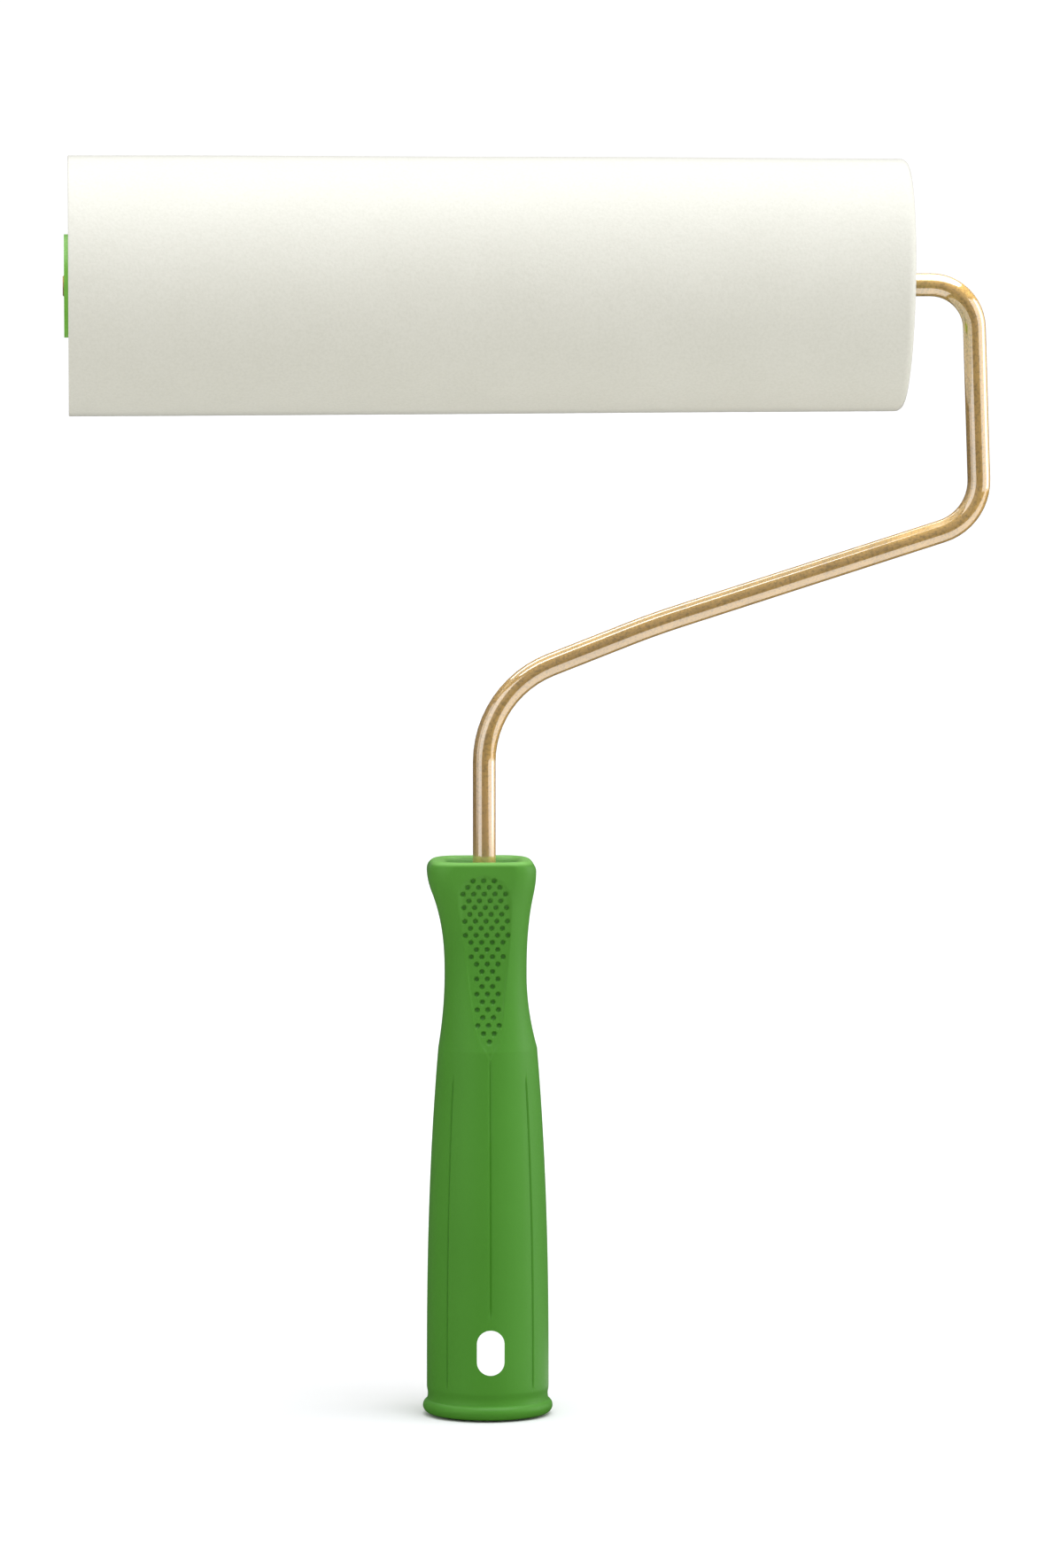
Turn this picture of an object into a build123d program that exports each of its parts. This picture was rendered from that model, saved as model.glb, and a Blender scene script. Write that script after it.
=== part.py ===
from build123d import *
from math import cos, radians, sin
import os

# Foam paint roller. A bent wire carries a foam sleeve that spins on two plastic end caps, and a moulded
# handle grips the wire's lower end. Millimetres. Z runs up the handle, X along the sleeve's axle, and the
# working side faces -Y. The origin is the centre of the pole socket's mouth, at the handle's bottom face.

# ---- Driving dimensions ----

# Sleeve: foam on a rigid core tube
sleeve_length = 200.0
foam_diameter = 61.5
foam_edge_ease = 1.4
core_diameter = 24.0
core_wall = 2.0

# End caps, pressed into both ends of the core tube
flange_overlap = 0.3
flange_thickness = 1.0
skirt_length = 14.0
skirt_wall = 1.6
web_depth = 5.2
web_thickness = 1.4
hub_diameter = 11.6
hub_depth = 2.6
hub_length = 13.0
spoke_count = 6
spoke_thickness = 1.3
spoke_drop = 0.9

# Axle hardware, in the dished outer faces of the caps
bearing_clearance = 0.08
axial_play = 0.15
washer_diameter = 11.0
washer_thickness = 0.6
washer_clearance = 0.15
ring_rim_width = 1.6
ring_thickness = 0.45
ring_tooth_rise = 0.8
ring_tooth_count = 4
ring_slit_width = 0.8
ring_clearance = 0.02
ear_width = 8.4
ear_thickness = 3.2
ear_length = 1.6
ear_chamfer = 0.8
tip_projection = 0.3
tip_chamfer = 0.5

# Wire frame, from the axle down to the handle
wire_diameter = 5.5
axle_above_handle = 137.5
leg_gap = 16.5
leg_lean = 1.9
lower_corner_below_foam = 25.4
neck_corner_above_handle = 40.4
neck_corner_offset = -0.8
brace_bow = 1.9
brace_bow_share = 0.34
upper_bend_radius = 10.6
lower_bend_radius = 12.7
brace_bend_radius = 200.0
neck_bend_radius = 25.0
tang_depth = 56.0
wing_width = 9.0
wing_thickness = 2.4
wing_length = 12.0
wing_end_gap = 4.0

# Handle: round grip below, waisted neck and soft rectangular collar above
handle_length = 134.0
grip_diameter = 29.4
grip_widest_height = 12.0
grip_top_height = 88.5
grip_top_diameter = 23.8
grip_taper_power = 2.3
round_corner_share = 0.999
grip_tapers = 5
lip_diameter = 31.3
lip_radius = 1.8
lip_wrap_angle = 135.0
lip_steps = 3
lip_neck_height = 4.7
lip_neck_depth = 0.2
waist_height = 106.0
waist_width = 19.6
waist_depth = 18.0
waist_corner = 7.2
waist_offset = -0.5
collar_height = 129.6
collar_width = 25.9
collar_depth = 21.5
collar_corner = 6.4
collar_offset = -1.5
collar_round_over = 2.2
lower_flare_power = 1.9
upper_flare_power = 2.5
lower_flare_shares = (0.14, 0.36, 0.64, 1.0)
upper_flare_shares = (0.36, 0.62, 0.82, 1.0)
round_over_angles = (45, 90)
collar_dish_depth = 0.5
collar_dish_margin = 1.0

# Thumb facets with their dimples, front and back
facet_depth = 0.55
facet_tip_depth = 0.15
facet_corner_radius = 1.2
facet_outline = ((3.3, 0.0), (6.3, 5.2), (5.8, 14.0), (3.3, 37.5))  # half widths and drops from the top
facet_steps = 7
facet_top_height = 130.4
facet_tip_height = 86.8
dimple_rows = (3, 4, 5, 4, 5, 4, 5, 4, 5, 4, 3, 4, 3, 2, 3, 2, 3, 2, 3, 2, 3, 2, 1)
dimple_top_height = 129.0
dimple_pitch_top = 1.62
dimple_pitch_bottom = 1.96
dimple_spacing = 2.55
dimple_diameter = 1.1
dimple_depth = 0.5
dimple_sides = 6

# Fine lengthwise grooves round the grip
groove_count = 8
groove_width = 0.55
groove_depth = 0.3
groove_top_height = 82.5
groove_bottom_height = 6.6

# Pole socket and hanging slot
socket_diameter = 22.4
socket_depth = 62.0
slot_width = 6.6
slot_height = 10.9
slot_centre_height = 16.4
slot_back_width = 8.0
slot_back_drop = 4.6

# ---- Places and sizes that follow ----

wire_radius = wire_diameter / 2
core_radius = core_diameter / 2
core_bore_radius = core_radius - core_wall
foam_radius = foam_diameter / 2
sleeve_end = sleeve_length / 2
axle_height = handle_length + axle_above_handle
skirt_inner_radius = core_bore_radius - skirt_wall
bearing_radius = wire_radius + bearing_clearance
washer_face_depth = hub_depth - axial_play
ring_face_depth = washer_face_depth - washer_thickness
grip_radius = grip_diameter / 2
grip_top_radius = grip_top_diameter / 2
margin = 5.0


def facing(end):
    """The plane on the core tube's end face, with its normal pointing out of the sleeve."""
    return Plane(origin=(end * sleeve_end, 0, axle_height), x_dir=(0, end, 0), z_dir=(end, 0, 0))


# ---- Sleeve ----


def foam_cover():
    """The foam tube, bonded to the core: cut square at the outer end and eased at the inner one."""
    tube = Cylinder(foam_radius, sleeve_length)
    tube = chamfer(tube.edges().sort_by(Axis.Z)[-1], foam_edge_ease)
    tube -= Cylinder(core_radius, sleeve_length)
    return Plane(origin=(0, 0, axle_height), z_dir=(1, 0, 0)) * tube


def core_tube():
    """The rigid plastic tube under the foam."""
    tube = Cylinder(core_radius, sleeve_length) - Cylinder(core_bore_radius, sleeve_length)
    return Plane(origin=(0, 0, axle_height), z_dir=(1, 0, 0)) * tube


def end_cap(end):
    """A dished plug with a flange, a skirt in the tube, and a hub on spokes that runs on the wire."""
    flange_radius = core_radius + flange_overlap
    flange = Pos(0, 0, flange_thickness / 2) * Cylinder(flange_radius, flange_thickness)
    skirt = Pos(0, 0, -skirt_length / 2) * Cylinder(core_bore_radius, skirt_length)
    cap = flange + skirt
    dish_depth = web_depth + flange_thickness
    cap -= Pos(0, 0, flange_thickness - dish_depth / 2) * Cylinder(skirt_inner_radius, dish_depth)
    back_depth = skirt_length - web_depth - web_thickness
    cap -= Pos(0, 0, -skirt_length + back_depth / 2) * Cylinder(skirt_inner_radius, back_depth)
    cap += Pos(0, 0, -hub_depth - hub_length / 2) * Cylinder(hub_diameter / 2, hub_length)
    spoke_height = web_depth - spoke_drop
    spoke_reach = skirt_inner_radius + skirt_wall / 2
    spoke = Pos(spoke_reach / 2, 0, -web_depth + spoke_height / 2)
    spoke *= Box(spoke_reach, spoke_thickness, spoke_height)
    spokes = [Rot(0, 0, 360 * step / spoke_count) * spoke for step in range(spoke_count)]
    # The spokes stop at the hub's face, so the washer has room inside them.
    washer_room = Pos(0, 0, -hub_depth + margin / 2)
    washer_room *= Cylinder(hub_diameter / 2 + washer_clearance, margin)
    spokes = Part() + spokes - washer_room
    cap += spokes
    cap -= Cylinder(bearing_radius, 4 * skirt_length)
    return facing(end) * cap


# ---- Axle hardware ----


def thrust_washer(end):
    """A flat washer between the hub's face and what stops the sleeve on the wire."""
    washer = Cylinder(washer_diameter / 2, washer_thickness)
    washer -= Cylinder(wire_radius + washer_clearance, washer_thickness)
    return facing(end) * Pos(0, 0, -washer_face_depth + washer_thickness / 2) * washer


def retaining_ring():
    """A push-on lock ring: a flat rim with inner teeth that slope outwards and bite on the wire's tip."""
    bite_radius = wire_radius + ring_clearance
    rim_radius = washer_diameter / 2
    tooth_root = rim_radius - ring_rim_width
    section = Polyline(
        (rim_radius, 0),
        (rim_radius, ring_thickness),
        (tooth_root, ring_thickness),
        (bite_radius, ring_thickness + ring_tooth_rise),
        (bite_radius, ring_tooth_rise),
        (tooth_root, 0),
        close=True,
    )
    ring = revolve(Plane.XZ * make_face(section), Axis.Z)
    slit = Pos(tooth_root / 2, 0, 0) * Box(tooth_root, ring_slit_width, 2 * margin)
    ring -= [Rot(0, 0, 360 * step / ring_tooth_count) * slit for step in range(ring_tooth_count)]
    return facing(-1) * Pos(0, 0, -ring_face_depth) * ring


# ---- Wire frame ----


def wire_corners():
    """The corners of the wire's centreline, from the tip to the tang, before they are bent round."""
    upper = Vector(sleeve_end + leg_gap, 0, axle_height)
    lower = Vector(upper.X + leg_lean, 0, axle_height - foam_radius - lower_corner_below_foam)
    neck = Vector(neck_corner_offset, 0, handle_length + neck_corner_above_handle)
    brace = lower - neck
    bow = neck + brace * brace_bow_share + Vector(0, 0, brace_bow)
    tip = Vector(-sleeve_end - flange_thickness - tip_projection, 0, axle_height)
    tang = Vector(neck_corner_offset, 0, handle_length - tang_depth)
    return [tip, upper, lower, bow, neck, tang]


def tang_wings():
    """The flattened part of the tang, which keeps the wire from turning in the handle."""
    height = handle_length - tang_depth + wing_end_gap + wing_length / 2
    return Pos(neck_corner_offset, 0, height) * Box(wing_width, wing_thickness, wing_length)


def wire_frame():
    """The round wire, with its squeezed ears by the inner cap and the flattened wings on its tang."""
    corners = wire_corners()
    radii = [upper_bend_radius, lower_bend_radius, brace_bend_radius, neck_bend_radius]
    path = FilletPolyline(*corners, radius=radii)
    wire = sweep(Plane(origin=corners[0], z_dir=(1, 0, 0)) * Circle(wire_radius), path=path)
    wire = chamfer(wire.edges().sort_by(Axis.X)[0], tip_chamfer)
    ear = Pos(0, 0, -ring_face_depth + ear_length / 2) * Box(ear_thickness, ear_width, ear_length)
    ear = chamfer(ear.edges().filter_by(Axis.Z), ear_chamfer)
    return wire + facing(1) * ear + tang_wings()


# ---- Handle ----


def grip_radius_at(height):
    """The grip's radius, which shrinks upwards from its widest height by a power of the distance."""
    share = max(0.0, height - grip_widest_height) / (grip_top_height - grip_widest_height)
    return grip_radius - (grip_radius - grip_top_radius) * share**grip_taper_power


def neck_size(height, grip_end, waist, collar):
    """A size of the neck at a height, which changes both ways from the waist by powers of the distance."""
    if height < waist_height:
        share = (waist_height - height) / (waist_height - grip_top_height)
        return waist + (grip_end - waist) * share**lower_flare_power
    share = (height - waist_height) / (collar_height - waist_height)
    return waist + (collar - waist) * share**upper_flare_power


def neck_depth(height):
    return neck_size(height, grip_top_diameter, waist_depth, collar_depth)


def neck_offset(height):
    """How far the neck leans sideways at a height: the collar sits off the grip's centre."""
    height = min(max(height, grip_top_height), collar_height)
    return neck_size(height, 0, waist_offset, collar_offset)


def between(low, high, shares):
    return [low + (high - low) * share for share in shares]


def soft_section(height, width, depth, corner):
    """One outline of the shell, a rectangle with round corners."""
    return Pos(0, 0, height) * RectangleRounded(width, depth, corner)


def round_section(height, radius):
    """A round outline, kept as four corners so that it lofts cleanly into the neck's soft rectangles."""
    return soft_section(height, 2 * radius, 2 * radius, round_corner_share * radius)


def grooved_section(height, angles):
    """The grip's round outline with a V notch at each of the angles."""
    radius = grip_radius_at(height)
    notch = Polyline(
        (radius - groove_depth, 0),
        (radius + groove_depth, groove_width),
        (radius + groove_depth, -groove_width),
        close=True,
    )
    notches = [Rot(0, 0, angle) * make_face(notch) for angle in angles]
    return Pos(0, 0, height) * (Pos(0, 0, -height) * round_section(height, radius) - notches)


def lip():
    """The rolled lip at the bottom, and the start of the grip above it."""
    centre = lip_diameter / 2 - lip_radius
    sections = []
    for step in range(lip_steps + 1):
        angle = radians(-90 + lip_wrap_angle * step / lip_steps)
        sections.append(round_section(lip_radius + lip_radius * sin(angle), centre + lip_radius * cos(angle)))
    sections.append(round_section(lip_neck_height, grip_radius - lip_neck_depth))
    sections.append(round_section(groove_bottom_height, grip_radius))
    return loft(sections, ruled=True)


def grip():
    """The tapered grip with its lengthwise grooves: the front and back ones start above the hanging slot."""
    all_angles = [360 * step / groove_count for step in range(groove_count)]
    front_and_back = [90, 270]
    side_angles = [angle for angle in all_angles if angle not in front_and_back]
    spans = [
        (groove_bottom_height, slot_centre_height, 1, side_angles),
        (slot_centre_height, groove_top_height, grip_tapers, all_angles),
        (groove_top_height, facet_tip_height, 1, front_and_back),
    ]
    body = None
    for bottom, top, tapers, angles in spans:
        heights = between(bottom, top, [step / tapers for step in range(tapers + 1)])
        span = loft([grooved_section(height, angles) for height in heights], ruled=True)
        body = span if body is None else body + span
    return body


def neck():
    """The waisted neck, from the round top of the grip to the soft rectangle of the collar, rounded over."""
    ends = (facet_tip_height, grip_top_height)
    sections = [round_section(height, grip_radius_at(height)) for height in ends]
    for height in (
        *between(grip_top_height, waist_height, lower_flare_shares),
        *between(waist_height, collar_height, upper_flare_shares),
    ):
        width = neck_size(height, grip_top_diameter, waist_width, collar_width)
        corner = neck_size(height, round_corner_share * grip_top_radius, waist_corner, collar_corner)
        section = soft_section(height, width, neck_depth(height), corner)
        sections.append(Pos(neck_offset(height), 0, 0) * section)
    for angle in round_over_angles:
        inset = collar_round_over * (1 - cos(radians(angle)))
        height = collar_height + (handle_length - collar_height) * sin(radians(angle))
        size = (collar_width - 2 * inset, collar_depth - 2 * inset, collar_corner - inset)
        sections.append(Pos(collar_offset, 0, 0) * soft_section(height, *size))
    return loft(sections, ruled=True)


def facet_face(height):
    """How far the thumb facet's floor lies from the handle's axis."""
    share = (height - facet_tip_height) / (waist_height - facet_tip_height)
    depth = facet_tip_depth + (facet_depth - facet_tip_depth) * min(1.0, share)
    return neck_depth(max(height, grip_top_height)) / 2 - depth


def thumb_facet():
    """The shield-shaped scoop cut into the neck's front: its outline and its floor's curve, crossed."""
    corners = [(half_width, facet_top_height - drop) for half_width, drop in facet_outline]
    corners += [(0, facet_tip_height)]
    corners += [(-half_width, height) for half_width, height in reversed(corners[:-1])]
    shield = make_face(Polyline(*[(x + neck_offset(z), z) for x, z in corners], close=True))
    shield = fillet(shield.vertices(), facet_corner_radius)
    prism = extrude(Plane.XZ * shield, collar_depth)
    shares = [step / facet_steps for step in range(facet_steps + 1)]
    heights = between(facet_tip_height, facet_top_height + facet_depth, shares)
    floor = [(facet_face(height), height) for height in heights]
    profile = Polyline(*floor, (collar_depth, heights[-1]), (collar_depth, heights[0]), close=True)
    side_view = Plane(origin=(0, 0, 0), x_dir=(0, -1, 0), z_dir=(-1, 0, 0))
    scoop = extrude(side_view * make_face(profile), waist_width, both=True)
    return prism & scoop


def dimples():
    """Staggered rows of small blind pits in the facet's floor, drawn straight out of the mould."""
    pit = extrude(RegularPolygon(dimple_diameter / 2, dimple_sides), dimple_depth, both=True)
    rows = len(dimple_rows) - 1
    pits = []
    for row, count in enumerate(dimple_rows):
        growth = (dimple_pitch_bottom - dimple_pitch_top) * row / (2 * rows)
        height = dimple_top_height - row * (dimple_pitch_top + growth)
        for place in range(count):
            across = neck_offset(height) + (place - (count - 1) / 2) * dimple_spacing
            deep = facet_face(height)
            pits.append(Pos(across, -deep, height) * Rot(90, 0, 0) * pit)
    return pits


def hanging_slot():
    """The slot through both walls. It drops and widens towards the back, so one can see and hook through."""
    front = Plane(origin=(0, -grip_radius, slot_centre_height), x_dir=(0, 0, 1), z_dir=(0, 1, 0))
    back_height = slot_height + slot_back_drop
    back_centre = slot_centre_height - slot_back_drop / 2
    back = Plane(origin=(0, grip_radius, back_centre), x_dir=(0, 0, 1), z_dir=(0, 1, 0))
    mouth = front * SlotOverall(slot_height, slot_width)
    slot = loft([mouth, back * SlotOverall(back_height, slot_back_width)], ruled=True)
    return slot + extrude(mouth, -margin)


def pole_socket():
    """The blind bore that an extension pole slides into."""
    return Pos(0, 0, socket_depth / 2) * Cylinder(socket_diameter / 2, socket_depth)


def handle():
    """The moulded handle: lip, grip and neck, less the facets, collar dish, slot, dimples and bores."""
    facet = thumb_facet()
    body = lip() + grip() + neck() - [facet, mirror(facet, Plane.XZ)]
    inset = collar_round_over + collar_dish_margin
    dish = RectangleRounded(collar_width - 2 * inset, collar_depth - 2 * inset, collar_corner - inset)
    body -= Pos(collar_offset, 0, handle_length - collar_dish_depth) * extrude(dish, margin)
    body -= hanging_slot()
    body -= pole_socket()
    wire_hole = Pos(neck_corner_offset, 0, handle_length - tang_depth / 2) * Cylinder(wire_radius, tang_depth)
    body -= wire_hole
    body -= tang_wings()
    pits = dimples()
    body -= pits + [mirror(pit, Plane.XZ) for pit in pits]
    return body


# ---- Files ----

nodes = {
    "foam_cover": foam_cover(),
    "core_tube": core_tube(),
    "outer_end_cap": end_cap(-1),
    "inner_end_cap": end_cap(1),
    "outer_thrust_washer": thrust_washer(-1),
    "inner_thrust_washer": thrust_washer(1),
    "retaining_ring": retaining_ring(),
    "wire_frame": wire_frame(),
    "handle": handle(),
}
os.makedirs("parts", exist_ok=True)
for name, solid in nodes.items():
    export_step(solid, f"parts/{name}.step")
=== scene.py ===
import math
import bmesh
import bpy
import numpy as np
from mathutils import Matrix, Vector


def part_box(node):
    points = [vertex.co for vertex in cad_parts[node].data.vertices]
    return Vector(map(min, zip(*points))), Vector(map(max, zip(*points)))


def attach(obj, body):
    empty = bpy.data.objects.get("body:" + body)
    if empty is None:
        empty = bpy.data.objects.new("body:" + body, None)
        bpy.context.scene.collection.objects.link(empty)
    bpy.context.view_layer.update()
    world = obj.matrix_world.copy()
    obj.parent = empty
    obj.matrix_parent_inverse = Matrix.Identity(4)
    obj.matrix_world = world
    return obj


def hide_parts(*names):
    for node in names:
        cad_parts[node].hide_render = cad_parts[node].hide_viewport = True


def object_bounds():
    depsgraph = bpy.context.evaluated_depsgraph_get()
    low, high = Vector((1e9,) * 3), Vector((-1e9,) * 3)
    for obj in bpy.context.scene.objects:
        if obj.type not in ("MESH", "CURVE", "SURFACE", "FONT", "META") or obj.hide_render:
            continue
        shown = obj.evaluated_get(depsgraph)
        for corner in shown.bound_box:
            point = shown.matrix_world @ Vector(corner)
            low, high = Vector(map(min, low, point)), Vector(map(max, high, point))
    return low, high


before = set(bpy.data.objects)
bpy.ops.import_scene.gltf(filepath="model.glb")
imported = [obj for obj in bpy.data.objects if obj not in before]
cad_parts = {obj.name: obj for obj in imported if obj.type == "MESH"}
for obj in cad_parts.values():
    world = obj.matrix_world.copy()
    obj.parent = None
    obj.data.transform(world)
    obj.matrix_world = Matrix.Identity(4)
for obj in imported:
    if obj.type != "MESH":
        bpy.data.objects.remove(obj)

cad_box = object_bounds()

# ---- Camera, floor and studio light ----
# A long lens stands a little above the roller's top, in line with the sleeve's outer end, so that end is
# seen edge-on. The floor is a plain white sheet. A white tent and a very wide soft sun from overhead give
# the even light, with a soft box at each side, and panels that only metal and gloss can see.

view_centre = Vector((0.0084, 0.0, 0.152))
camera_distance = 2.08
camera_azimuth = math.radians(-3.0)
camera_elevation = math.radians(4.8)
to_camera = Vector((
    math.sin(camera_azimuth) * math.cos(camera_elevation),
    -math.cos(camera_azimuth) * math.cos(camera_elevation),
    math.sin(camera_elevation),
))
lens = bpy.data.cameras.new("long_lens")
lens.lens = 199.0
lens.sensor_width = 36.0
lens.clip_start = 0.05
lens.clip_end = 60.0
camera = bpy.data.objects.new("long_lens", lens)
camera.location = view_centre + to_camera * camera_distance
camera.rotation_euler = (-to_camera).to_track_quat("-Z", "Y").to_euler()
bpy.context.scene.collection.objects.link(camera)
bpy.context.scene.camera = camera
bpy.context.scene.view_settings.view_transform = "Standard"


def grid_mesh(name, points, close_rows=False, close_columns=False):
    """A mesh on a grid of points, rows by columns: each cell between four neighbours is one face. A
    closed direction joins its last line of points to its first."""
    rows, columns = points.shape[:2]
    row = np.arange(rows if close_rows else rows - 1)
    column = np.arange(columns if close_columns else columns - 1)
    a, b = np.meshgrid(row, column, indexing="ij")
    c, d = (a + 1) % rows, (b + 1) % columns
    corners = [a * columns + b, c * columns + b, c * columns + d, a * columns + d]
    faces = np.stack(corners, -1).reshape(-1, 4)
    mesh = bpy.data.meshes.new(name)
    mesh.vertices.add(rows * columns)
    mesh.vertices.foreach_set("co", points.reshape(-1).astype(np.float32))
    mesh.loops.add(faces.size)
    mesh.loops.foreach_set("vertex_index", faces.reshape(-1).astype(np.int32))
    mesh.polygons.add(len(faces))
    mesh.polygons.foreach_set("loop_start", np.arange(0, faces.size, 4, dtype=np.int32))
    mesh.polygons.foreach_set("use_smooth", np.ones(len(faces), bool))
    mesh.update(calc_edges=True)
    mesh.validate()
    piece = bpy.data.objects.new(name, mesh)
    bpy.context.scene.collection.objects.link(piece)
    return piece


def new_material(name):
    """A material with its own Principled shader, and its node tree to build on."""
    material = bpy.data.materials.new(name)
    material.use_nodes = True
    tree = material.node_tree
    shader = tree.nodes["Principled BSDF"]
    return material, tree, shader


floor_reach, floor_gap = 9, 0.0004
floor_line = np.linspace(-floor_reach, floor_reach, 13)
floor_x, floor_y = np.meshgrid(floor_line, floor_line, indexing="ij")
floor_z = np.full_like(floor_x, cad_box[0].z - floor_gap)
floor = grid_mesh("floor", np.stack([floor_x, floor_y, floor_z], -1))

floor_paper, tree, shader = new_material("floor_paper")
shader.inputs["Base Color"].default_value = (0.95, 0.95, 0.94, 1)
shader.inputs["Roughness"].default_value = 0.9
shader.inputs["Specular IOR Level"].default_value = 0.1
paper_place = tree.nodes.new("ShaderNodeTexCoord")
paper_grain = tree.nodes.new("ShaderNodeTexNoise")
paper_grain.inputs["Scale"].default_value = 900.0
tree.links.new(paper_place.outputs["Object"], paper_grain.inputs["Vector"])
paper_bump = tree.nodes.new("ShaderNodeBump")
paper_bump.inputs["Strength"].default_value = 0.05
paper_bump.inputs["Distance"].default_value = 0.0002
tree.links.new(paper_grain.outputs["Fac"], paper_bump.inputs["Height"])
tree.links.new(paper_bump.outputs["Normal"], shader.inputs["Normal"])
# The paper looks white to the lens, throws back as much light as a pale grey card, and is dark in
# reflections.
card = tree.nodes.new("ShaderNodeBsdfDiffuse")
ray = tree.nodes.new("ShaderNodeLightPath")
card_tone = tree.nodes.new("ShaderNodeMix")
card_tone.data_type = "RGBA"
card_tone.inputs["A"].default_value = (0.70, 0.69, 0.66, 1)
card_tone.inputs["B"].default_value = (0.12, 0.115, 0.10, 1)
tree.links.new(ray.outputs["Is Glossy Ray"], card_tone.inputs["Factor"])
tree.links.new(card_tone.outputs["Result"], card.inputs["Color"])
paper_or_card = tree.nodes.new("ShaderNodeMixShader")
tree.links.new(ray.outputs["Is Camera Ray"], paper_or_card.inputs["Fac"])
tree.links.new(card.outputs["BSDF"], paper_or_card.inputs[1])
tree.links.new(shader.outputs["BSDF"], paper_or_card.inputs[2])
tree.links.new(paper_or_card.outputs["Shader"], tree.nodes["Material Output"].inputs["Surface"])
floor.data.materials.append(floor_paper)


def soft_box(name, place, aim, width, height, power):
    """A rectangular studio light at a place, facing the point it is aimed at."""
    light = bpy.data.lights.new(name, "AREA")
    light.shape = "RECTANGLE"
    light.size = width
    light.size_y = height
    light.energy = power
    box = bpy.data.objects.new(name, light)
    box.location = place
    box.rotation_euler = (Vector(aim) - Vector(place)).to_track_quat("-Z", "Y").to_euler()
    bpy.context.scene.collection.objects.link(box)
    return box


overhead = bpy.data.lights.new("overhead_tent", "SUN")
overhead.energy = 1.78
overhead.angle = math.radians(50.0)
overhead.color = (0.90, 0.91, 1.0)
overhead_tent = bpy.data.objects.new("overhead_tent", overhead)
overhead_tent.rotation_euler = Vector((0.2, -0.30, 1.0)).to_track_quat("Z", "Y").to_euler()
bpy.context.scene.collection.objects.link(overhead_tent)
soft_box("right_box", (1.5, 0.05, 0.35), view_centre, 0.6, 1.4, 7.0)
soft_box("left_box", (-1.5, -0.3, 0.4), view_centre, 0.5, 1.2, 1.6)

# White panels that only show as reflections: polished metal has them as bands, with dark gaps between.
for name, place, aim, width, height, power in (
    ("left_panel", (-0.86, -0.83, 0.25), view_centre, 0.80, 1.4, 4.3),
    ("right_panel", (1.19, -0.15, 0.25), view_centre, 2.4, 1.2, 9.8),
    ("top_panel", (0.0, 0.15, 1.55), view_centre, 2.4, 2.0, 52.0),
    ("floor_panel", (0.61, -0.165, 0.004), (0.61, -0.165, 1.0), 1.18, 0.45, 1.75),
):
    panel = soft_box(name, place, aim, width, height, power)
    panel.visible_diffuse = False
    panel.visible_camera = False

world = bpy.data.worlds.new("white_tent")
world.use_nodes = True
bpy.context.scene.world = world
tree = world.node_tree
tent = tree.nodes["Background"]
tent.inputs["Color"].default_value = (1, 1, 1, 1)
seen = tree.nodes.new("ShaderNodeLightPath")


def choose(flag, otherwise, chosen):
    """One strength or another, by what kind of ray looks: a mix whose factor is the ray's flag."""
    mix = tree.nodes.new("ShaderNodeMix")
    mix.data_type = "FLOAT"
    tree.links.new(seen.outputs[flag], mix.inputs["Factor"])
    mix.inputs["B"].default_value = chosen
    if isinstance(otherwise, float):
        mix.inputs["A"].default_value = otherwise
    else:
        tree.links.new(otherwise, mix.inputs["A"])
    return mix.outputs["Result"]


# The tent is white to the lens, even light on everything, and dimmer in reflections.
strength = choose("Is Camera Ray", choose("Is Glossy Ray", 0.74, 0.21), 1.05)
tree.links.new(strength, tent.inputs["Strength"])

# ---- Wire frame ----
# One length of round steel wire with a yellow plated finish, bent cold into axle, leg, brace and tang.
# A fine grain covers it, and the plating is speckled and duller in places.


def smooth_shading(piece, crease):
    """Joins a mesh's loose facets for shading only, and keeps edges sharper than the crease angle."""
    weld = piece.modifiers.new("join_facets", "WELD")
    weld.merge_threshold = 2e-6
    split = piece.modifiers.new("keep_creases", "EDGE_SPLIT")
    split.split_angle = math.radians(crease)
    normals = piece.modifiers.new("even_normals", "WEIGHTED_NORMAL")
    normals.weight = 50
    normals.mode = "FACE_AREA_WITH_ANGLE"


def dress(name, material, crease=28.0):
    """Gives a CAD node its finish and even shading, and returns its object."""
    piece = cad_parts[name]
    piece.data.materials.clear()
    piece.data.materials.append(material)
    smooth_shading(piece, crease)
    return piece


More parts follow.
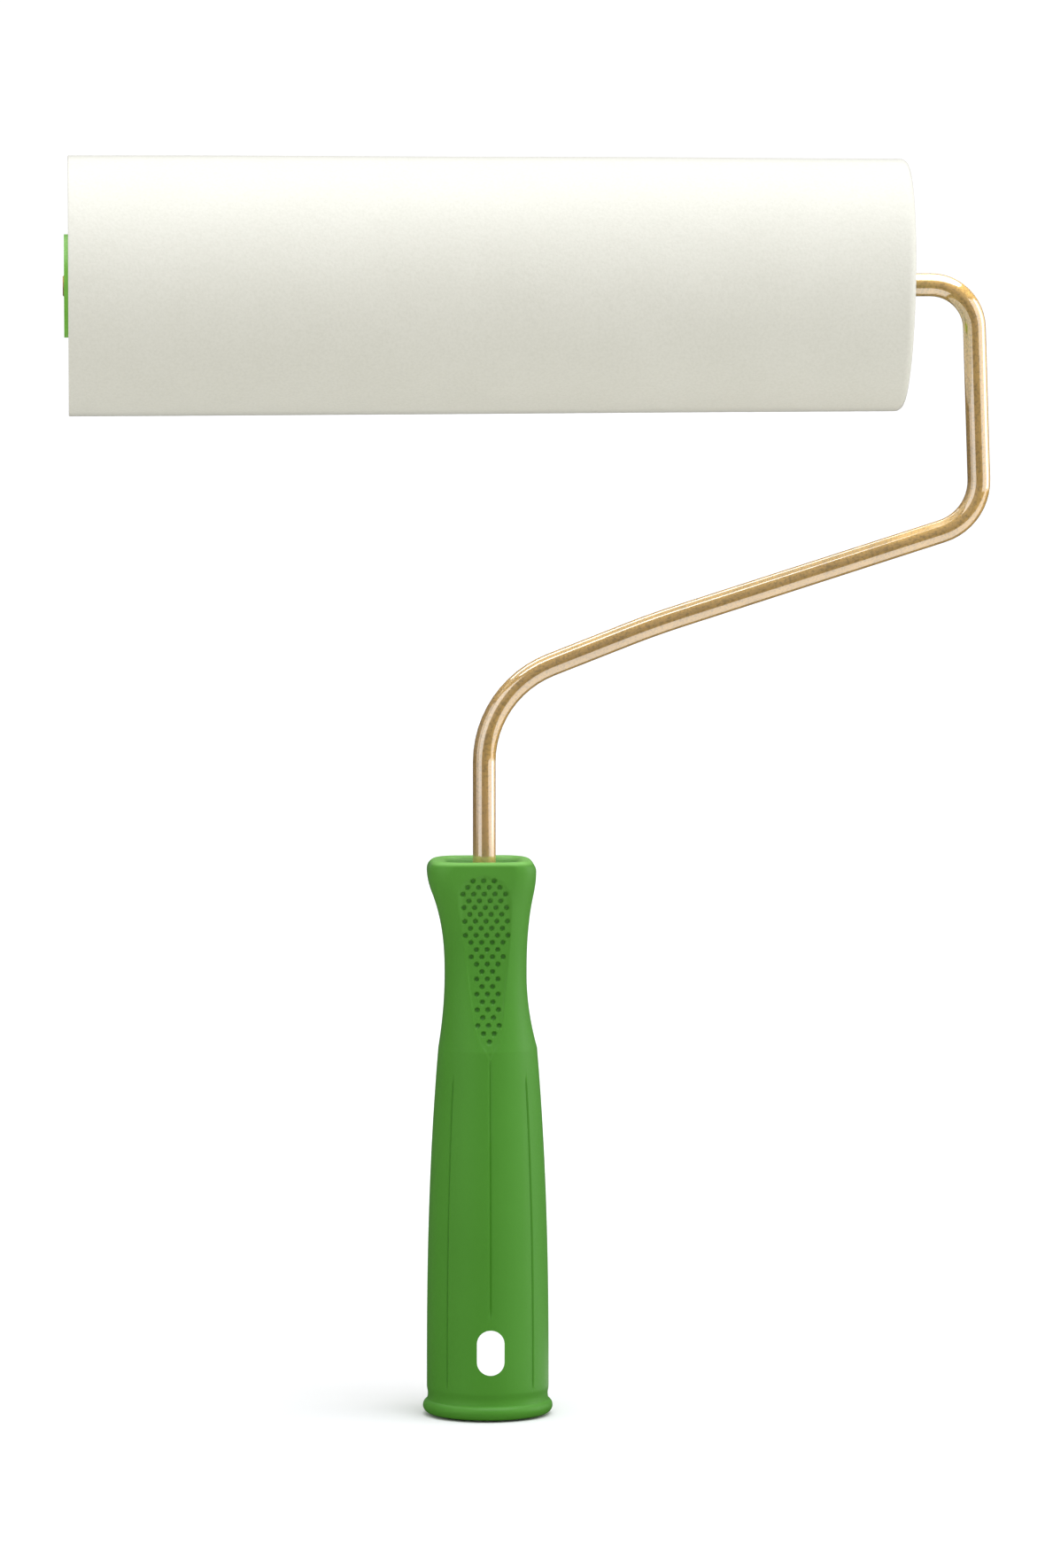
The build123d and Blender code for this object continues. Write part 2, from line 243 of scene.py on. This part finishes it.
def grain_group():
    """Shader group: fine grain at a place. Gives a normal that wavers with a small noise, that noise
    itself, and a mask of soft blotches from a broad noise, for colour and gloss."""
    group = bpy.data.node_groups.new("fine_grain", "ShaderNodeTree")
    group.interface.new_socket("Place", in_out="INPUT", socket_type="NodeSocketVector")
    for name, value in (("Grain size", 0.0004), ("Height", 0.00002), ("Blotch size", 0.02)):
        socket = group.interface.new_socket(name, in_out="INPUT", socket_type="NodeSocketFloat")
        socket.default_value = value
    group.interface.new_socket("Normal", in_out="OUTPUT", socket_type="NodeSocketVector")
    group.interface.new_socket("Blotches", in_out="OUTPUT", socket_type="NodeSocketFloat")
    group.interface.new_socket("Grain", in_out="OUTPUT", socket_type="NodeSocketFloat")
    nodes, links = group.nodes, group.links
    given, result = nodes.new("NodeGroupInput"), nodes.new("NodeGroupOutput")

    def noise_of_size(socket, detail):
        """A noise whose blobs have the size given in metres: its scale is one over that size."""
        over = nodes.new("ShaderNodeMath")
        over.operation = "DIVIDE"
        over.inputs[0].default_value = 1.0
        links.new(given.outputs[socket], over.inputs[1])
        noise = nodes.new("ShaderNodeTexNoise")
        noise.inputs["Detail"].default_value = detail
        links.new(given.outputs["Place"], noise.inputs["Vector"])
        links.new(over.outputs["Value"], noise.inputs["Scale"])
        return noise.outputs["Fac"]

    grain = noise_of_size("Grain size", 3.0)
    bump = nodes.new("ShaderNodeBump")
    bump.inputs["Strength"].default_value = 1.0
    links.new(grain, bump.inputs["Height"])
    links.new(given.outputs["Height"], bump.inputs["Distance"])
    links.new(bump.outputs["Normal"], result.inputs["Normal"])
    links.new(noise_of_size("Blotch size", 4.0), result.inputs["Blotches"])
    links.new(grain, result.inputs["Grain"])
    return group


fine_grain = grain_group()


def put_grain(tree, grain_size, height, blotch_size):
    """Places the grain group in a material, on the piece's own coordinates, with its sizes in metres."""
    place = tree.nodes.new("ShaderNodeTexCoord")
    grain = tree.nodes.new("ShaderNodeGroup")
    grain.node_tree = fine_grain
    grain.inputs["Grain size"].default_value = grain_size
    grain.inputs["Height"].default_value = height
    grain.inputs["Blotch size"].default_value = blotch_size
    tree.links.new(place.outputs["Object"], grain.inputs["Place"])
    return grain


def ramp(tree, source, stops):
    """A colour ramp on a 0 to 1 mask: each stop is a position and a colour or grey."""
    node = tree.nodes.new("ShaderNodeValToRGB")
    elements = node.color_ramp.elements
    while len(elements) < len(stops):
        elements.new(0.5)
    for element, (position, tone) in zip(elements, stops):
        element.position = position
        element.color = (tone, tone, tone, 1) if isinstance(tone, (int, float)) else (*tone, 1)
    tree.links.new(source, node.inputs["Fac"])
    return node.outputs["Color"]


def mix_tone(tree, way, amount, first, second):
    """Mixes or multiplies two tones by an amount: each is a fixed value or another node's output."""
    node = tree.nodes.new("ShaderNodeMix")
    node.data_type = "RGBA"
    node.blend_type = way
    for socket, value in (("Factor", amount), ("A", first), ("B", second)):
        if isinstance(value, float):
            node.inputs[socket].default_value = value
        elif isinstance(value, tuple):
            node.inputs[socket].default_value = (*value, 1)
        else:
            tree.links.new(value, node.inputs[socket])
    return node.outputs["Result"]


plated_wire, tree, shader = new_material("plated_wire")
shader.inputs["Metallic"].default_value = 1.0
shader.inputs["Coat Weight"].default_value = 1.0
shader.inputs["Coat IOR"].default_value = 3.4
shader.inputs["Coat Roughness"].default_value = 0.06
grain = put_grain(tree, 0.0006, 0.0000012, 0.007)
plating = ramp(tree, grain.outputs["Blotches"], [
    (0.30, (0.70, 0.440, 0.112)),
    (0.55, (0.79, 0.505, 0.135)),
    (0.75, (0.86, 0.560, 0.165)),
])
# Pin-sized dull specks, and a pinker tone low on the neck, where the plating is thin over the copper flash.
speckle_stops = [(0.36, (0.74, 0.72, 0.68)), (0.52, (1.0, 1.0, 1.0))]
speckle = ramp(tree, grain.outputs["Grain"], speckle_stops)
speckled = mix_tone(tree, "MULTIPLY", 1.0, plating, speckle)
place = tree.nodes.new("ShaderNodeTexCoord")
up = tree.nodes.new("ShaderNodeSeparateXYZ")
tree.links.new(place.outputs["Object"], up.inputs["Vector"])
low = tree.nodes.new("ShaderNodeMapRange")
low.inputs["From Min"].default_value = 0.160
low.inputs["From Max"].default_value = 0.136
low.inputs["To Max"].default_value = 0.45
tree.links.new(up.outputs["Z"], low.inputs["Value"])
copper = mix_tone(tree, "MIX", low.outputs["Result"], speckled, (0.80, 0.47, 0.24))
tree.links.new(copper, shader.inputs["Base Color"])
dullness = ramp(tree, grain.outputs["Grain"], [(0.3, 0.56), (0.7, 0.66)])
tree.links.new(dullness, shader.inputs["Roughness"])
tree.links.new(grain.outputs["Normal"], shader.inputs["Normal"])
dress("wire_frame", plated_wire)

# ---- Lock ring and washers ----
# The outer end has a pressed spring-steel ring with teeth that bite the wire, over a flat steel washer,
# zinc-plated. The inner washer is the same, and sits against the two ears that are squeezed out of the wire.


def grained_finish(name, grain_sizes, tones, dullness):
    """A finish whose colour goes from one tone to another over the broad blotches, and whose roughness
    goes from one value to another over the fine grain. The grain's sizes are its width, height and blotch
    width."""
    material, tree, shader = new_material(name)
    grain = put_grain(tree, *grain_sizes)
    colour = ramp(tree, grain.outputs["Blotches"], list(zip((0.3, 0.7), tones)))
    roughness = ramp(tree, grain.outputs["Grain"], list(zip((0.3, 0.7), dullness)))
    tree.links.new(colour, shader.inputs["Base Color"])
    tree.links.new(roughness, shader.inputs["Roughness"])
    tree.links.new(grain.outputs["Normal"], shader.inputs["Normal"])
    return material, shader


pressed_grain = (0.0003, 0.000006, 0.004)
spring_tones = ((0.42, 0.41, 0.40), (0.62, 0.61, 0.60))
spring_steel, shader = grained_finish("spring_steel", pressed_grain, spring_tones, (0.22, 0.38))
shader.inputs["Metallic"].default_value = 1.0
dress("retaining_ring", spring_steel)

zinc_tones = ((0.60, 0.61, 0.62), (0.76, 0.77, 0.78))
washer_steel, shader = grained_finish("washer_steel", pressed_grain, zinc_tones, (0.34, 0.50))
shader.inputs["Metallic"].default_value = 1.0
for name in ("outer_thrust_washer", "inner_thrust_washer"):
    dress(name, washer_steel)

# ---- End caps ----
# Lime green plugs, moulded in one piece each: a flange, a barrel pressed into the end of the sleeve's core,
# and a hub on six spokes that runs on the bare wire. The same plug is used at both ends.

cap_tones = ((0.18, 0.52, 0.045), (0.21, 0.58, 0.060))
cap_plastic, shader = grained_finish("cap_plastic", (0.0004, 0.000010, 0.006), cap_tones, (0.34, 0.46))
for name in ("outer_end_cap", "inner_end_cap"):
    dress(name, cap_plastic)

# ---- Core tube ----
# The rigid tube of grey-white plastic that the foam is bonded to, cut from extruded stock. Inside the
# finished sleeve it is hidden: only its ends could show, round the caps' flanges.

tube_plastic, tree, shader = new_material("tube_plastic")
grain = put_grain(tree, 0.0005, 0.000015, 0.01)
tube_tone = ramp(tree, grain.outputs["Blotches"], [(0.3, (0.60, 0.60, 0.57)), (0.7, (0.70, 0.70, 0.67))])
tree.links.new(tube_tone, shader.inputs["Base Color"])
shader.inputs["Roughness"].default_value = 0.5
tree.links.new(grain.outputs["Normal"], shader.inputs["Normal"])
dress("core_tube", tube_plastic)

# ---- Foam sleeve ----
# A tube of fine-pored white foam, bonded to the core and ground round. It is a touch thicker at the outer
# end, cut square and sharp there, and rounded and a little out of square at the end by the crank.

foam_low, foam_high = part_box("foam_cover")
axle_height = (foam_low.z + foam_high.z) / 2
foam_radius = (foam_high.z - foam_low.z) / 2
core_low, core_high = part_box("core_tube")
bore_radius = (core_high.z - core_low.z) / 2
outer_swell, inner_shrink = 0.0003, 0.0005
outer_ease, inner_ease = 0.0003, 0.0019
wave_count, wave_height, grain_height = 9, 0.000020, 0.000014
lean_reach, lean_start = 0.0007, 0.02


def foam_profile(length_steps, face_steps, bore_steps):
    """The tube wall's closed outline, as places along the axle and radii: along the bore, up the inner
    end's face, round its edge by a quarter circle, along the outside, round the outer end's edge and down
    its face. The outside shrinks evenly towards the crank."""
    start, end = foam_low.x, foam_high.x
    outer_radius, inner_radius = foam_radius + outer_swell, foam_radius - inner_shrink
    turn = np.linspace(0, math.pi / 2, 7)[1:-1]
    along = np.linspace(end - inner_ease, start + outer_ease, length_steps)
    share = (along - start) / (end - start)
    parts = [
        (np.linspace(start, end, bore_steps)[:-1], np.full(bore_steps - 1, bore_radius)),
        (np.full(face_steps, end), np.linspace(bore_radius, inner_radius - inner_ease, face_steps)),
        (end - inner_ease * (1 - np.cos(turn)), inner_radius - inner_ease * (1 - np.sin(turn))),
        (along, outer_radius + (inner_radius - outer_radius) * share),
        (start + outer_ease * (1 - np.sin(turn)), outer_radius - outer_ease * (1 - np.cos(turn))),
        (np.full(face_steps, start), np.linspace(outer_radius - outer_ease, bore_radius, face_steps)),
    ]
    return [np.concatenate(column) for column in zip(*parts)]


def foam_tube(name):
    """The wall's outline carried round the axle. The outside wavers by a few long, seeded cosine waves
    and a fine seeded grain, faded out towards the bore; the crank end's face leans by a fraction of a
    millimetre."""
    random = np.random.default_rng(7)
    along, radius = foam_profile(length_steps=236, face_steps=16, bore_steps=8)
    angle = np.linspace(0, 2 * math.pi, 336, endpoint=False)
    s, a = np.meshgrid(along, angle, indexing="ij")
    r = np.repeat(radius[:, None], len(angle), 1)
    outside = np.clip((r - bore_radius) / (foam_radius - bore_radius), 0, 1) ** 2
    wave = np.zeros_like(r)
    for _ in range(wave_count):
        turns, lengths = random.integers(1, 5), random.uniform(10, 70)
        wave += np.cos(turns * a + lengths * s + random.uniform(0, 6.28))
    grain = random.normal(size=r.shape)
    grain = (grain + np.roll(grain, 1, 0) + np.roll(grain, 1, 1) + np.roll(grain, (1, 1), (0, 1))) / 4
    r = r + outside * (wave * wave_height + grain * grain_height)
    lean = np.clip((s - foam_high.x + lean_start) / lean_start, 0, 1)
    s = s + lean * outside * lean_reach * np.sin(a)
    points = np.stack([s, -r * np.cos(a), axle_height + r * np.sin(a)], -1)
    return grid_mesh(name, points, close_rows=True, close_columns=True)


foam = foam_tube("foam_sleeve")

foam_skin, tree, shader = new_material("foam_skin")
place = tree.nodes.new("ShaderNodeTexCoord")
pores = tree.nodes.new("ShaderNodeTexVoronoi")
pores.inputs["Scale"].default_value = 2100.0
tree.links.new(place.outputs["Object"], pores.inputs["Vector"])
pits = tree.nodes.new("ShaderNodeTexNoise")
pits.inputs["Scale"].default_value = 1500.0
pits.inputs["Detail"].default_value = 3.0
tree.links.new(place.outputs["Object"], pits.inputs["Vector"])
broad = tree.nodes.new("ShaderNodeTexNoise")
broad.inputs["Scale"].default_value = 60.0
broad.inputs["Detail"].default_value = 4.0
tree.links.new(place.outputs["Object"], broad.inputs["Vector"])
depth = tree.nodes.new("ShaderNodeMath")
depth.operation = "MULTIPLY_ADD"
depth.inputs[1].default_value = 0.6
tree.links.new(pores.outputs["Distance"], depth.inputs[0])
tree.links.new(pits.outputs["Fac"], depth.inputs[2])
pore_bump = tree.nodes.new("ShaderNodeBump")
pore_bump.inputs["Strength"].default_value = 0.12
pore_bump.inputs["Distance"].default_value = 0.0002
tree.links.new(depth.outputs["Value"], pore_bump.inputs["Height"])
tree.links.new(pore_bump.outputs["Normal"], shader.inputs["Normal"])
pore_tone = ramp(tree, pits.outputs["Fac"], [(0.3, (0.725, 0.72, 0.63)), (0.62, (0.765, 0.76, 0.672))])
broad_tone = ramp(tree, broad.outputs["Fac"], [(0.3, (0.975, 0.975, 0.97)), (0.7, (1.0, 1.0, 1.0))])
tone = mix_tone(tree, "MULTIPLY", 1.0, pore_tone, broad_tone)
# Painted shade: the foam's colour is darkened where its surface is seen edge-on, so its outline shows darker
# in every view.
painted_edge_shade = tree.nodes.new("ShaderNodeLayerWeight")
painted_edge_shade.inputs["Blend"].default_value = 0.5
painted_edge_shade_tone = ramp(tree, painted_edge_shade.outputs["Facing"], [(0.74, (1.0, 1.0, 1.0)), (1.0, (0.68, 0.68, 0.69))])
tree.links.new(mix_tone(tree, "MULTIPLY", 1.0, tone, painted_edge_shade_tone), shader.inputs["Base Color"])
shader.inputs["Roughness"].default_value = 0.6
shader.inputs["Specular IOR Level"].default_value = 0.3
foam.data.materials.append(foam_skin)
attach(foam, "sleeve")
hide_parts("foam_cover")

# ---- Handle ----
# Injection-moulded green plastic with a satin skin, driven onto the wire's tang. Front and back have a
# dimpled thumb facet, thin grooves run down the grip, and the lip round the pole socket is rolled.

# Heights are from the handle's lower end. The sizes of the waist and the collar are half width, half depth,
# corner radius and sideways lean.
handle_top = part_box("handle")[1].z
grip_start, grip_radius, grip_widest = 0.0066, 0.0147, 0.012
grip_end, grip_end_radius = 0.0885, 0.0119
lip_radius, lip_rolled = 0.01565, 0.0018
pinch_height, pinch_radius = 0.0048, 0.01448
nearly_round = 0.999
waist_height, waist_sizes = 0.106, (0.0098, 0.0090, 0.0072, -0.0005)
collar_height, collar_sizes = 0.1286, (0.01295, 0.01075, 0.0060, -0.0015)
side_round, front_round = 0.0026, 0.0010
dish_depth, hole_start = 0.0011, 0.0012
socket_radius, socket_depth, mouth_round = 0.0112, 0.062, 0.0004
tang_x, tang_radius, tang_depth = -0.0008, 0.0028, 0.056
facet_tip, face_from = 0.0868, 0.006
dimple_top, dimple_step, dimple_spread, dimple_pitch = 0.12965, 0.0016, 0.00032, 0.00255
dimple_radius, dimple_wall, dimple_depth = 0.00070, 0.00030, 0.00055
groove_width, groove_depth, groove_fade = 0.00036, 0.00032, 0.0012


def blend(low, high, share):
    """From one value to another, eased at both ends by a cubic in the share."""
    share = np.clip(share, 0, 1)
    return low + (high - low) * share * share * (3 - 2 * share)


def sharp_sizes(height):
    """Half width, half depth, corner radius and sideways lean of the shell at each height. The grip thins
    by a power of the distance from its widest place, and the neck widens both ways from its waist by
    powers."""
    up = np.clip((height - grip_widest) / (grip_end - grip_widest), 0, 1)
    grip = grip_radius - (grip_radius - grip_end_radius) * up ** 2.3
    below = np.clip((waist_height - height) / (waist_height - grip_end), 0, 1) ** 1.9
    above = np.clip((height - waist_height) / (collar_height - waist_height), 0, 1) ** 2.5
    ends = (grip, grip, grip * nearly_round, grip * 0)
    return [
        waist + (end - waist) * below + (collar - waist) * above
        for waist, end, collar in zip(waist_sizes, ends, collar_sizes)
    ]


def shell_sizes(height):
    """The same sizes, averaged over nine places up and down the handle near the collar, where the neck's
    flare runs softly into the collar's upright sides."""
    reach = blend(0, 0.0024, (height - 0.118) / 0.008)
    return np.mean([sharp_sizes(height + reach * step) for step in np.linspace(-1, 1, 9)], axis=0)


def soft_outline(half_width, half_depth, corner, angle):
    """How far a rectangle with round corners reaches from its centre along each angle: to its flat sides,
    or to the corner's circle, where the ray from the centre meets it."""
    across, ahead = np.abs(np.cos(angle)), np.abs(np.sin(angle))
    flat_x, flat_y = half_width - corner, half_depth - corner
    side, front = half_width / np.maximum(across, 1e-9), half_depth / np.maximum(ahead, 1e-9)
    along = across * flat_x + ahead * flat_y
    arc = along + np.sqrt(np.maximum(along**2 - flat_x**2 - flat_y**2 + corner**2, 0))
    return np.where(side * ahead <= flat_y, side, np.where(front * across <= flat_x, front, arc))


def shell_rows():
    """Every outline of the shell, from the socket's inner end down the bore, round the lip, up the grip
    and neck, over the collar's edge, into its dish and down the hole round the wire: height, half width,
    half depth, corner radius, lean, and 1 where facets and grooves may be. The collar's sides round over
    by a bigger quarter circle than its front."""
    bore = np.concatenate([[socket_depth] * 4, np.linspace(socket_depth, mouth_round, 12)])
    bore_radius_at = np.concatenate([np.linspace(0.0, socket_radius, 5)[:-1], np.full(12, socket_radius)])
    mouth = np.linspace(0, math.pi / 2, 5)[1:]
    roll = np.radians(np.linspace(-90, 62, 22))
    hook = np.linspace(0, 1, 7)[1:]
    lip_centre = lip_radius - lip_rolled
    hook_start = (lip_rolled * (1 + math.sin(roll[-1])), lip_centre + lip_rolled * math.cos(roll[-1]))
    round_heights = np.concatenate([
        bore,
        mouth_round * (1 - np.sin(mouth)),
        lip_rolled * (1 + np.sin(roll)),
        hook_start[0] + (pinch_height - hook_start[0]) * hook,
        np.linspace(pinch_height, grip_start, 6)[1:],
    ])
    round_radii = np.concatenate([
        bore_radius_at,
        socket_radius + mouth_round * (1 - np.cos(mouth)),
        lip_centre + lip_rolled * np.cos(roll),
        pinch_radius + (hook_start[1] - pinch_radius) * (1 - hook) ** 2.2,
        blend(pinch_radius, grip_radius, np.linspace(0, 1, 6)[1:]),
    ])
    round_part = [
        round_heights,
        round_radii,
        round_radii,
        round_radii * nearly_round,
        round_radii * 0,
        round_radii * 0,
    ]
    grip_and_neck = np.concatenate([
        np.linspace(grip_start, facet_tip - 0.001, 76)[1:],
        np.linspace(facet_tip - 0.001, handle_top - side_round, 190)[1:],
    ])
    straight_part = [grip_and_neck, *shell_sizes(grip_and_neck), np.ones_like(grip_and_neck)]
    over = np.linspace(0, math.pi / 2, 19)[1:]
    over_heights = handle_top - side_round * (1 - np.sin(over))
    tight = np.clip(1 - (handle_top - over_heights) / front_round, 0, 1)
    inset_side = side_round * (1 - np.cos(over))
    inset_front = front_round * (1 - np.sqrt(1 - tight**2))
    sizes = collar_sizes
    over_part = [
        over_heights,
        sizes[0] - inset_side,
        sizes[1] - inset_front,
        sizes[2] - inset_front,
        np.full_like(over, sizes[3]),
        np.ones_like(over),
    ]
    inward = np.linspace(0, 1, 24)[1:]
    rim = (sizes[0] - inset_side[-1], sizes[1] - inset_front[-1], sizes[2] - inset_front[-1])
    dip = blend(0, dish_depth, (inward - 0.06) / 0.30)
    dish_part = [
        handle_top - dip,
        rim[0] + (tang_radius - rim[0]) * inward,
        rim[1] + (tang_radius - rim[1]) * inward,
        rim[2] + (tang_radius * nearly_round - rim[2]) * inward,
        sizes[3] + (tang_x - sizes[3]) * inward,
        np.zeros_like(inward),
    ]
    hole_end = handle_top - tang_depth
    hole = np.concatenate([np.linspace(handle_top - hole_start, hole_end, 7), [hole_end] * 3])
    hole_radius = np.concatenate([np.full(7, tang_radius), np.linspace(tang_radius, 0, 4)[1:]])
    hole_part = [
        hole,
        hole_radius,
        hole_radius,
        hole_radius * nearly_round,
        np.full_like(hole, tang_x),
        hole * 0,
    ]
    parts = (round_part, straight_part, over_part, dish_part, hole_part)
    return [np.concatenate(column) for column in zip(*parts)]


def shell_angles():
    """The columns' angles round the axis: close together over the thumb facets and at each groove."""
    facet = np.linspace(-38, 38, 63)
    between_facets = np.linspace(40.5, 139.5, 30)
    groove_span = np.linspace(-1.6, 1.6, 7)
    side = np.concatenate([between_facets, 45 + groove_span, 90 + groove_span, 135 + groove_span])
    quarter_turns = np.concatenate([facet - 90, side - 90, facet + 90, side + 90])
    return np.radians(np.unique(np.round(quarter_turns % 360, 3)))


def facet_reach(x, z):
    """How far inside the shield-shaped facet's outline a place is: its half width there, less how far the
    place is from the shield's middle line. Negative is outside."""
    heights = (facet_tip - 0.004, facet_tip, 0.0905, 0.0929, 0.1164, 0.1235, 0.1270, 0.1295, 0.1309, 0.135)
    half_widths = (-0.006, 0.0, 0.0021, 0.0031, 0.0058, 0.0063, 0.0060, 0.0044, 0.0, -0.02)
    return np.interp(z, heights, half_widths) - np.abs(x - shell_sizes(z)[3])


def pit_mask(x, z):
    """1 in the middle of each dimple and 0 outside them all, by the distance to the nearest dimple. They
    stand in staggered rows, a little further apart towards the facet's tip."""
    counts = (3, 4, 5, 4, 5, 4, 5, 4, 5, 4, 3, 4, 3, 2, 3, 2, 3, 2, 3, 2, 3, 2, 1)
    rows = np.arange(len(counts))
    row_heights = dimple_top - rows * (dimple_step + dimple_spread * rows / (2 * (len(counts) - 1)))
    centres = np.concatenate([
        np.stack([(np.arange(count) - (count - 1) / 2) * dimple_pitch, np.full(count, height)], -1)
        for count, height in zip(counts, row_heights)
    ])
    centres[:, 0] += shell_sizes(centres[:, 1])[3]
    nearest = np.sqrt(np.min(
        (x[..., None] - centres[:, 0]) ** 2 + (z[..., None] - centres[:, 1]) ** 2, axis=-1
    ))
    return blend(0, 1, (dimple_radius - nearest) / dimple_wall)


def groove_mask(angle, radius, z):
    """1 along the bottom of each lengthwise groove: eight round the grip, by how far a place is round the
    shell from the nearest groove's middle, and faded at both ends. The front and back ones start above
    the hanging slot and end at the facet's tip."""
    place = (angle / (math.pi / 4)) % 1.0
    away = np.minimum(place, 1 - place) * (math.pi / 4) * radius
    middle = np.abs(np.cos(angle)) < 0.2
    above_slot, groove_end = 0.0245, 0.0825
    start, end = np.where(middle, above_slot, grip_start), np.where(middle, facet_tip, groove_end)
    reach = np.minimum(z - start, end - z)
    return np.clip(1 - away / groove_width, 0, 1) * np.clip(reach / groove_fade, 0, 1)


def handle_skin(name):
    """The outlines carried up the handle on a grid of heights by angles. Grooves are pressed in towards the
    axis. Then a place inside the facet is pressed in towards the facet's flat floor, more softly near the
    collar, and dimples are pressed straight in."""
    height, half_width, half_depth, corner, lean, outside = [column[:, None] for column in shell_rows()]
    angle = shell_angles()[None, :]
    reach = soft_outline(half_width, half_depth, corner, angle)
    z = height + reach * 0
    reach = reach - outside * groove_mask(angle, reach, z) * groove_depth
    x, y = lean + reach * np.cos(angle), reach * np.sin(angle)
    floor_heights = (facet_tip, waist_height, 0.122, 0.130)
    floor_depth = np.interp(z, floor_heights, (0.00015, 0.00055, 0.00050, 0.00025))
    softness = np.interp(z, (0.118, 0.128), (0.0005, 0.0018))
    floor_at = shell_sizes(np.maximum(z, grip_end))[1] - floor_depth
    inside = blend(0, 1, facet_reach(x, z) / softness + 0.3) * outside * (np.abs(y) > face_from)
    pressed = inside * np.maximum(np.abs(y) - floor_at, 0)
    pits = pit_mask(x, z) * outside * (np.abs(y) > face_from) * (z > facet_tip)
    y = y - np.sign(y) * (pressed + pits * dimple_depth)
    return grid_mesh(name, np.stack([x, y, z], -1), close_columns=True)


def close_poles(piece):
    """Merges the points of a row that has shrunk to one place, and turns the faces outwards."""
    shape = bmesh.new()
    shape.from_mesh(piece.data)
    bmesh.ops.remove_doubles(shape, verts=shape.verts, dist=1e-7)
    bmesh.ops.recalc_face_normals(shape, faces=shape.faces)
    shape.to_mesh(piece.data)
    shape.free()


def cut_slot(piece):
    """Takes the hanging slot out of the shell: a round-ended prism that widens towards the back, and
    drops and shifts a little there."""
    past_shell = 0.020
    angle = np.linspace(0, 2 * math.pi, 72, endpoint=False)[None, :]
    ahead = np.array([-past_shell, -past_shell, -grip_radius, grip_radius, past_shell, past_shell])[:, None]
    back_share = np.clip((ahead + grip_radius) / (2 * grip_radius), 0, 1.2)
    half_width = 0.0033 + 0.0007 * back_share
    half_height = 0.00545 + 0.0023 * back_share
    middle_x, middle_z = 0.0016 * back_share, 0.0164 - 0.0023 * back_share
    reach = soft_outline(half_width, half_height, half_width * nearly_round, angle)
    reach = reach * np.array([0, 1, 1, 1, 1, 0])[:, None]
    x, z = middle_x + reach * np.cos(angle), middle_z + reach * np.sin(angle)
    cutter = grid_mesh("slot_cutter", np.stack([x, ahead + x * 0, z], -1), close_columns=True)
    for solid in (piece, cutter):
        close_poles(solid)
    cut = piece.modifiers.new("hanging_slot", "BOOLEAN")
    cut.operation = "DIFFERENCE"
    cut.solver = "EXACT"
    cut.object = cutter
    finished = bpy.data.meshes.new_from_object(piece.evaluated_get(bpy.context.evaluated_depsgraph_get()))
    piece.modifiers.clear()
    piece.data = finished
    bpy.data.objects.remove(cutter)


handle = handle_skin("moulded_handle")
cut_slot(handle)
places = np.empty(len(handle.data.vertices) * 3)
handle.data.vertices.foreach_get("co", places)
x, y, z = places.reshape(-1, 3).T
# The dimples' mask, used in the handle's material to paint shade into the dimples.
pits = pit_mask(x, z) * (np.abs(y) > face_from) * (z > facet_tip)
# Painted light: the neck and collar are made paler upwards, and a painted highlight runs round the collar's
# top rim.
painted_neck_light = blend(0, 0.08, (z - 0.112) / 0.012)
painted_rim_highlight = blend(0, 0.82, (z - handle_top + 0.0011) / 0.0009)
painted_rim_light = painted_neck_light + painted_rim_highlight
for label, mask in (("pits", pits), ("painted_rim_light", painted_rim_light)):
    handle.data.attributes.new(label, "FLOAT", "POINT").data.foreach_set("value", mask.astype(np.float32))

handle_plastic, tree, shader = new_material("handle_plastic")
grain = put_grain(tree, 0.00035, 0.000012, 0.03)
skin_stops = [(0.25, (0.057, 0.243, 0.013)), (0.75, (0.065, 0.266, 0.017))]
skin = ramp(tree, grain.outputs["Blotches"], skin_stops)
# Painted shade darkens the dimples, and painted light makes the collar paler towards its rim and top, with a
# painted highlight round the top rim.
for label, tone in (("pits", (0.042, 0.185, 0.014)), ("painted_rim_light", (0.200, 0.540, 0.090))):
    mask = tree.nodes.new("ShaderNodeAttribute")
    mask.attribute_name = label
    skin = mix_tone(tree, "MIX", mask.outputs["Fac"], skin, tone)
tree.links.new(skin, shader.inputs["Base Color"])
dullness = ramp(tree, grain.outputs["Grain"], [(0.3, 0.40), (0.7, 0.52)])
tree.links.new(dullness, shader.inputs["Roughness"])
tree.links.new(grain.outputs["Normal"], shader.inputs["Normal"])
shader.inputs["Specular IOR Level"].default_value = 0.25
handle.data.materials.append(handle_plastic)
smooth_shading(handle, 30.0)
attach(handle, "frame")
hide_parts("handle")
